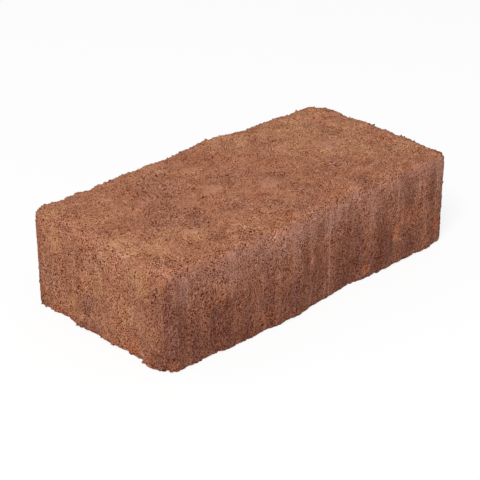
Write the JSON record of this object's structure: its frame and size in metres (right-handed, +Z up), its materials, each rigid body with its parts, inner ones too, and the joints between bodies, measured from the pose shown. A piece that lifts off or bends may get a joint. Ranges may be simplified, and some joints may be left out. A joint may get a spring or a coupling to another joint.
{
  "type": "concrete paving stone",
  "caption": "Rectangular cast paving stone with a flat bed, wavy hewn-look sides, soft worn edges and an uneven wearing face.",
  "frame": {"origin": "middle of the flat bed face, the bottom centre of the bounding box", "axes": "+X along the stone's length, +Y across its width, +Z up out of the wearing face"},
  "size_m": [0.2, 0.103, 0.052],
  "materials": {
    "concrete": "dry-cast concrete, coloured through in reddish tan with darker purple-brown and rust blends, coarse and open-pored, matt"
  },
  "bodies": {
    "root": {"paving_stone": "concrete"}
  },
  "joints": []
}
